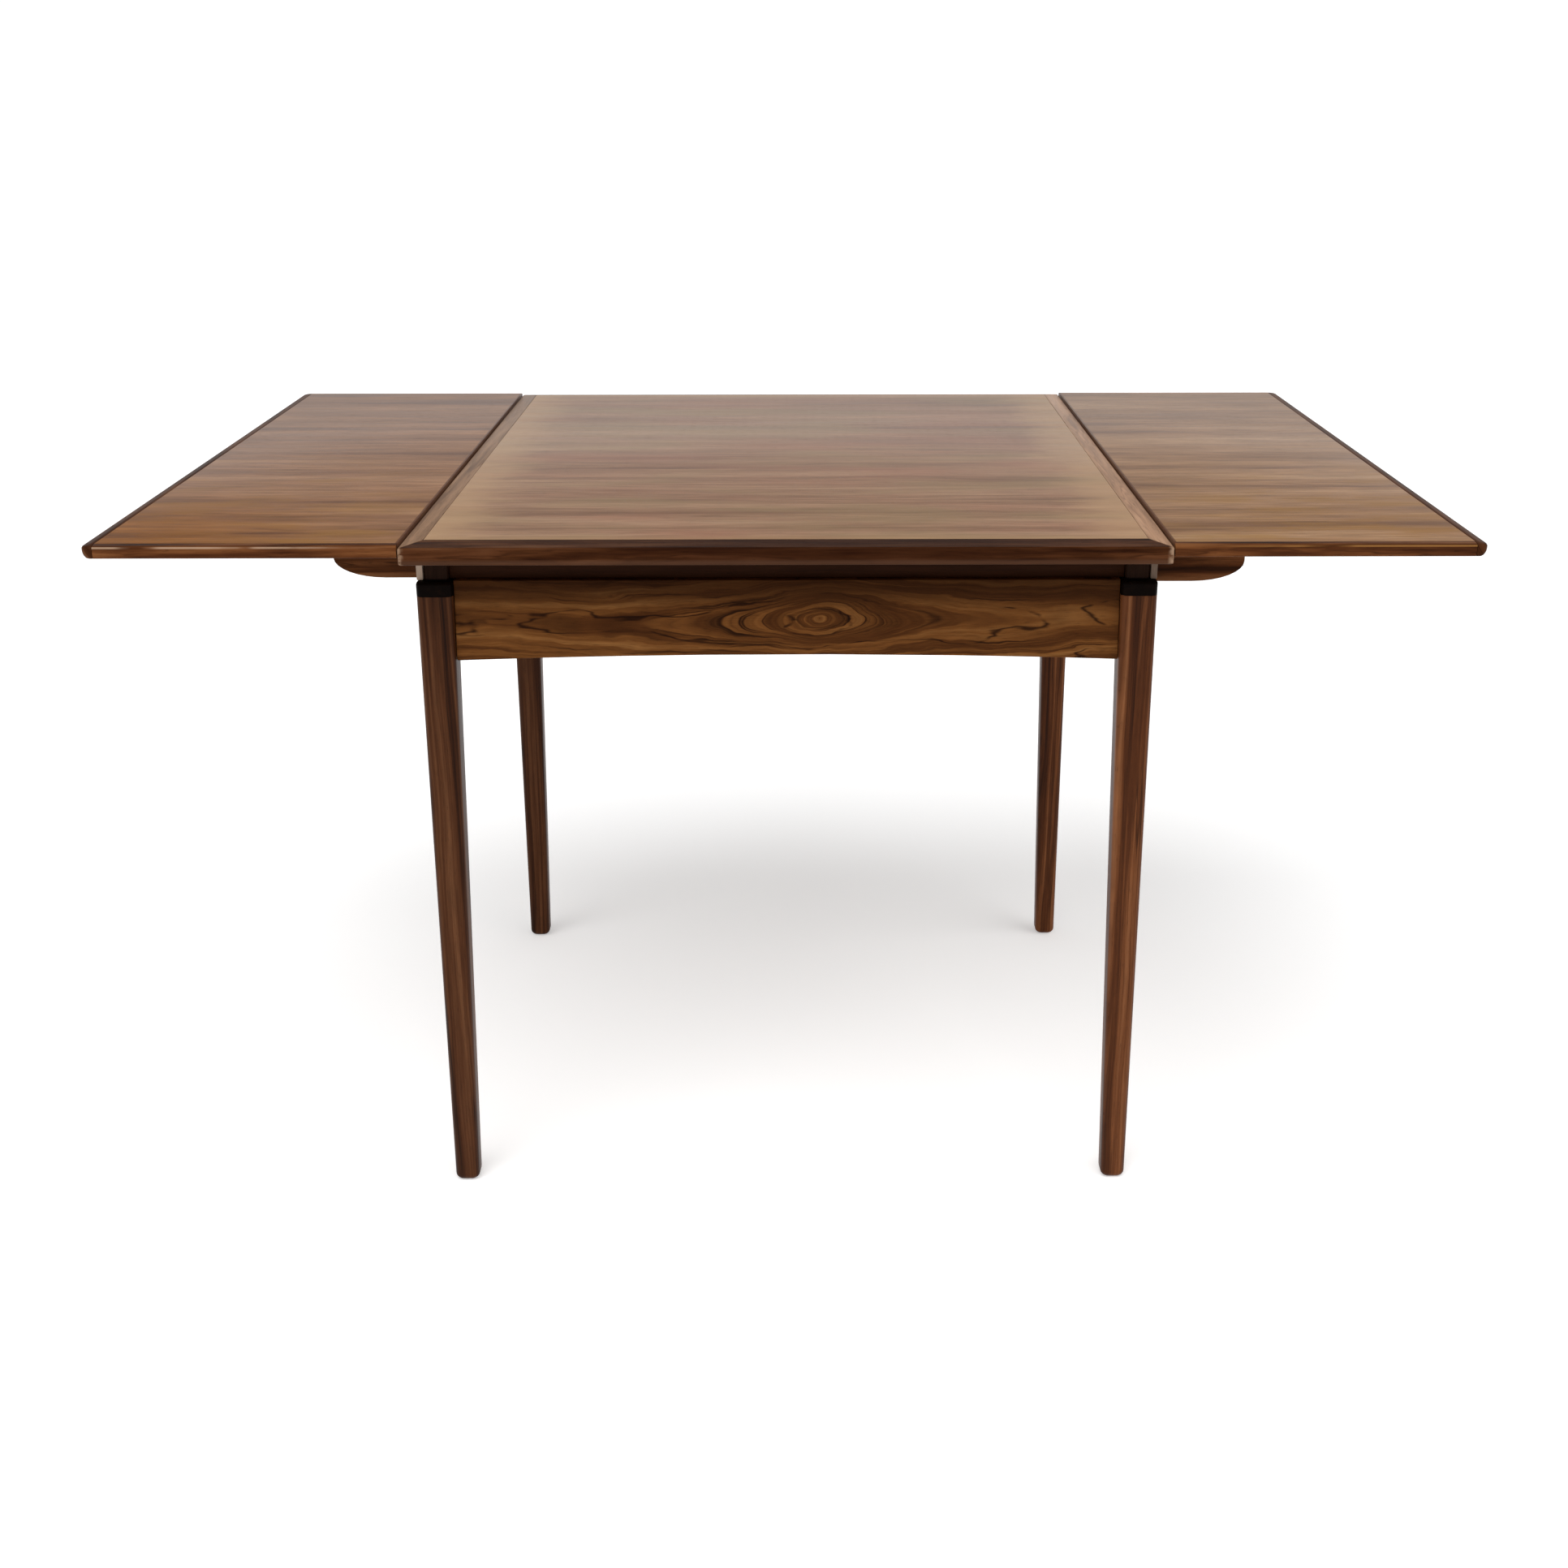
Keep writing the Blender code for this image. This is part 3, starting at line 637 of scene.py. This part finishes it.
def choose(piece, test, kind="faces"):
    # In edit mode, selects only the faces or edges that pass the test
    bpy.ops.mesh.select_mode(type="FACE" if kind == "faces" else "EDGE")
    bpy.ops.mesh.select_all(action="DESELECT")
    mesh = bmesh.from_edit_mesh(piece.data)
    for item in getattr(mesh, kind):
        if test(item):
            item.select_set(True)
    bmesh.update_edit_mesh(piece.data)


def taller(height):
    # A test for upright edges longer than a height
    return lambda edge: abs(edge.verts[0].co.z - edge.verts[1].co.z) > height


def smooth(piece):
    workOn(piece)
    bpy.ops.object.shade_smooth_by_angle(angle=math.radians(easing["smoothAngle"]))


def standFor(piece, node, material):
    piece.data.materials.clear()
    piece.data.materials.append(material)
    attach(piece, nodes[node]["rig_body"])
    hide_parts(node)


def pieceName(node):
    first, *rest = node.split("_")
    return first + "".join(word.capitalize() for word in rest)


def softened(node, width):
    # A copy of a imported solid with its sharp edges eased
    piece = bpy.data.objects.new(pieceName(node), nodes[node].data.copy())
    bpy.context.scene.collection.objects.link(piece)
    workOn(piece)
    bpy.ops.object.mode_set(mode="EDIT")
    bpy.ops.mesh.select_all(action="SELECT")
    bpy.ops.mesh.remove_doubles(threshold=easing["merge"])
    bpy.ops.mesh.dissolve_limited(angle_limit=math.radians(easing["flatAngle"]))
    bpy.ops.mesh.customdata_custom_splitnormals_clear()
    bpy.ops.object.mode_set(mode="OBJECT")
    bevel = piece.modifiers.new("ease", "BEVEL")
    bevel.width = width
    bevel.segments = easing["segments"]
    bevel.limit_method = "ANGLE"
    bevel.angle_limit = math.radians(easing["sharpAngle"])
    bpy.ops.object.modifier_apply(modifier=bevel.name)
    smooth(piece)
    return piece


def uprightBlock(name, x, y, width, low, high):
    # A square block, left in edit mode
    size = (width, width, high - low)
    bpy.ops.mesh.primitive_cube_add(size=1, location=(x, y, (low + high) / 2), scale=size)
    piece = bpy.context.object
    piece.name = name
    bpy.ops.object.transform_apply()
    bpy.ops.object.mode_set(mode="EDIT")
    return piece


def tierUp(piece, direction, tiers):
    # Extrudes the end face step by step: each tier is a rise, a scale and a shift
    end = max(direction * corner.co.z for corner in bmesh.from_edit_mesh(piece.data).verts)
    choose(piece, lambda face: all(direction * corner.co.z > end - sameHeight for corner in face.verts))
    for rise, scale, shift in tiers:
        move = (shift[0], shift[1], direction * rise)
        bpy.ops.mesh.extrude_region_move(TRANSFORM_OT_translate={"value": move})
        chosen = [v.co for v in bmesh.from_edit_mesh(piece.data).verts if v.select]
        middle = sum(chosen, Vector()) / len(chosen)
        bpy.ops.transform.resize(value=(scale, scale, 1), center_override=middle)


def roundOver(width, radius, steps):
    # Tiers that round an end over, as rises and scales of a face of that width
    tiers = []
    for step in range(steps):
        before, after = (math.pi / 2 * k / steps for k in (step, step + 1))
        rise = radius * (math.sin(after) - math.sin(before))
        narrow = [width - 2 * radius * (1 - math.cos(a)) for a in (before, after)]
        tiers.append((rise, narrow[1] / narrow[0], (0, 0)))
    return tiers


def twin(piece, name, flipX, flipY):
    # A copy on another corner of the table, with its own mesh
    workOn(piece)
    bpy.ops.object.duplicate(linked=False)
    copy = bpy.context.object
    copy.name = name
    copy.scale = (-1 if flipX else 1, -1 if flipY else 1, 1)
    bpy.ops.object.transform_apply(location=False, rotation=False, scale=True)
    if flipX != flipY:
        bpy.ops.object.mode_set(mode="EDIT")
        bpy.ops.mesh.select_all(action="SELECT")
        bpy.ops.mesh.normals_make_consistent(inside=False)
        bpy.ops.object.mode_set(mode="OBJECT")
    return copy


# Legs

legSizes = {
    "top": 0.0355, "foot": 0.0255, "arris": 0.0072, "arrisSteps": 7, "footRound": 0.0078, "steps": 7,
}


def makeLeg():
    # Front right leg: a long block, narrowed to the foot, with round arrises and a round foot
    low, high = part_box("leg_front_right")
    width, narrow, start = legSizes["top"], legSizes["foot"], legSizes["footRound"]
    top = Vector((low.x + width / 2, high.y - width / 2, start))
    foot = Vector((high.x - narrow / 2, low.y + narrow / 2, start))
    piece = uprightBlock("legFrontRight", top.x, top.y, width, start, high.z)
    choose(piece, lambda face: face.normal.z < -0.9)
    bpy.ops.transform.resize(value=(narrow / width, narrow / width, 1), center_override=top)
    bpy.ops.transform.translate(value=foot - top)
    choose(piece, taller(start), "edges")
    bpy.ops.mesh.bevel(
        offset=legSizes["arris"], offset_type="OFFSET", segments=legSizes["arrisSteps"], affect="EDGES"
    )
    tierUp(piece, -1, roundOver(narrow, start, legSizes["steps"]))
    bpy.ops.object.mode_set(mode="OBJECT")
    smooth(piece)
    return piece


# Black collars and necks

neckSizes = {
    "collar": 0.0355, "arris": 0.007, "arrisSteps": 6, "collarRound": 0.004, "steps": 5,
    "neck": 0.024, "inset": 0.0015, "uprightOver": 0.001,
}


def makeNeck():
    # Front right collar, rounded over at its top, with the slimmer neck standing on it
    low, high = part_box("neck_front_right")
    width, radius, inset = neckSizes["collar"], neckSizes["collarRound"], neckSizes["inset"]
    x, y = high.x - width / 2, low.y + width / 2
    piece = uprightBlock("neckFrontRight", x, y, width, low.z, apronTop - radius)
    choose(piece, taller(neckSizes["uprightOver"]), "edges")
    bpy.ops.mesh.bevel(
        offset=neckSizes["arris"], offset_type="OFFSET", segments=neckSizes["arrisSteps"], affect="EDGES"
    )
    tierUp(piece, 1, roundOver(width, radius, neckSizes["steps"]))
    landing = width - 2 * radius
    tierUp(piece, 1, [(0, neckSizes["neck"] / landing, (-inset, inset)), (high.z - apronTop, 1, (0, 0))])
    bpy.ops.object.mode_set(mode="OBJECT")
    smooth(piece)
    return piece


for maker, kind, material in ((makeLeg, "leg", legWood), (makeNeck, "neck", blackLacquer)):
    first = maker()
    corners = {
        "front_right": first,
        "back_right": twin(first, kind + "BackRight", False, True),
        "front_left": twin(first, kind + "FrontLeft", True, False),
        "back_left": twin(first, kind + "BackLeft", True, True),
    }
    for corner, piece in corners.items():
        standFor(piece, kind + "_" + corner, material)
print("legs and necks made")


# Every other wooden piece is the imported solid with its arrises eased. A row holds the starts of the
# nodes' names, how far they are eased and their material
easedPieces = [
    (["top_panel"], 0.0003, topVeneer),
    (["top_lip_front", "top_lip_back"], 0.0004, topFrontWood),
    (["top_lip_left", "top_lip_right"], 0.0004, topSideWood),
    (["top_peg_"], 0.0006, beechUpright),
    (["leaf_left_panel"], 0.0003, leftLeafVeneer),
    (["leaf_right_panel"], 0.0003, rightLeafVeneer),
    (["leaf_left_lip_front", "leaf_left_lip_back"], 0.0003, leftLipWood),
    (["leaf_right_lip_front", "leaf_right_lip_back"], 0.0003, rightLipWood),
    (["leaf_left_lip_end", "leaf_right_lip_end"], 0.0003, leafEndWood),
    (["apron_front"], 0.0012, frontApronWood),
    (["apron_back"], 0.0012, backApronWood),
    (["apron_left", "apron_right"], 0.0012, sideApronWood),
    (["rail_front", "rail_back"], 0.0006, railLengthWood),
    (["rail_left", "rail_right"], 0.0006, railCrossWood),
    (["runner_"], 0.0010, runnerWood),
    (["guide_block_"], 0.0005, guideWood),
    (["centre_board"], 0.0008, beechCross),
    (["corner_block_"], 0.0010, beechUpright),
    (["stop_peg_"], 0.0005, beechUpright),
]
for starts, width, material in easedPieces:
    for start in starts:
        for node in sorted(nodes):
            if node.startswith(start):
                standFor(softened(node, width), node, material)
for node in sorted(nodes):
    if node.startswith(("screw_", "corner_bolt_")):
        nodes[node].data.materials.clear()
        nodes[node].data.materials.append(zincPlate)
print("wooden pieces eased")


# Floor, soft light and the camera. Sky tones are placed from the horizon, at 0, to overhead, at 1

studio = {
    "floorReach": 60.0, "floorTone": 0.84, "floorGlow": 0.32, "floorRoughness": 0.9, "floorShine": 0.1,
    "floorMottle": 1.5, "floorMottleEdge": (0.3, 0.7), "floorMottleShade": 0.99,
    "skyStrength": 1.05, "sky": [(0.11, 1.0), (0.22, 0.62), (0.52, 0.55), (0.74, 0.16)],
    "sunAngle": 50, "keyStrength": 2.1, "keyTurn": (32, 0, -24), "fillStrength": 0.9, "fillTurn": (48, 0, 60),
}
shot = {
    "place": (0.014, -2.006, 1.142), "turn": (70.33, 0, -0.42), "lens": 42.15, "sensor": 36,
    "shiftX": -0.0197, "shiftY": -0.0445,
}


def radians(turn):
    return [math.radians(angle) for angle in turn]


def makeFloor():
    # Matt and near white, with some light of its own
    bpy.ops.object.select_all(action="DESELECT")
    bpy.ops.mesh.primitive_circle_add(vertices=64, radius=studio["floorReach"], fill_type="NGON")
    floor = bpy.context.object
    floor.name = "paleFloor"
    paint = Paint("paleFloor")
    size, tone = studio["floorMottle"], studio["floorTone"]
    mottle = paint.noise(paint.x / size, paint.y / size, 0.5)
    greys = ((tone * studio["floorMottleShade"],) * 3, (tone,) * 3)
    colour = paint.ramp(mottle, studio["floorMottleEdge"], greys)
    floor.data.materials.append(paint.finish(
        Base_Color=colour, Roughness=studio["floorRoughness"], Specular_IOR_Level=studio["floorShine"],
        Emission_Color=(1, 1, 1, 1), Emission_Strength=studio["floorGlow"],
    ))


def makeSky():
    # White round the horizon and dim overhead
    world = bpy.data.worlds.new("studioSky")
    world.use_nodes = True
    tree = world.node_tree
    place = tree.nodes.new("ShaderNodeTexCoord")
    split = tree.nodes.new("ShaderNodeSeparateXYZ")
    fade = tree.nodes.new("ShaderNodeValToRGB")
    while len(fade.color_ramp.elements) < len(studio["sky"]):
        fade.color_ramp.elements.new(1)
    for element, (height, tone) in zip(fade.color_ramp.elements, studio["sky"]):
        element.position = height
        element.color = (tone, tone, tone, 1)
    tree.links.new(place.outputs["Generated"], split.inputs[0])
    tree.links.new(split.outputs["Z"], fade.inputs[0])
    tree.links.new(fade.outputs[0], tree.nodes["Background"].inputs["Color"])
    tree.nodes["Background"].inputs["Strength"].default_value = studio["skyStrength"]
    bpy.context.scene.world = world


def makeLight(name, strength, turn):
    bpy.ops.object.light_add(type="SUN", rotation=radians(turn))
    light = bpy.context.object
    light.name = name
    light.data.energy = strength
    light.data.angle = math.radians(studio["sunAngle"])


def makeCamera():
    bpy.ops.object.camera_add(location=shot["place"], rotation=radians(shot["turn"]))
    camera = bpy.context.object
    camera.data.lens = shot["lens"]
    camera.data.sensor_width = shot["sensor"]
    camera.data.shift_x = shot["shiftX"]
    camera.data.shift_y = shot["shiftY"]
    bpy.context.scene.camera = camera


makeFloor()
makeSky()
makeLight("keyLight", studio["keyStrength"], studio["keyTurn"])
makeLight("fillLight", studio["fillStrength"], studio["fillTurn"])
makeCamera()
bpy.context.scene.view_settings.view_transform = "Standard"
print("floor, lights and camera made")
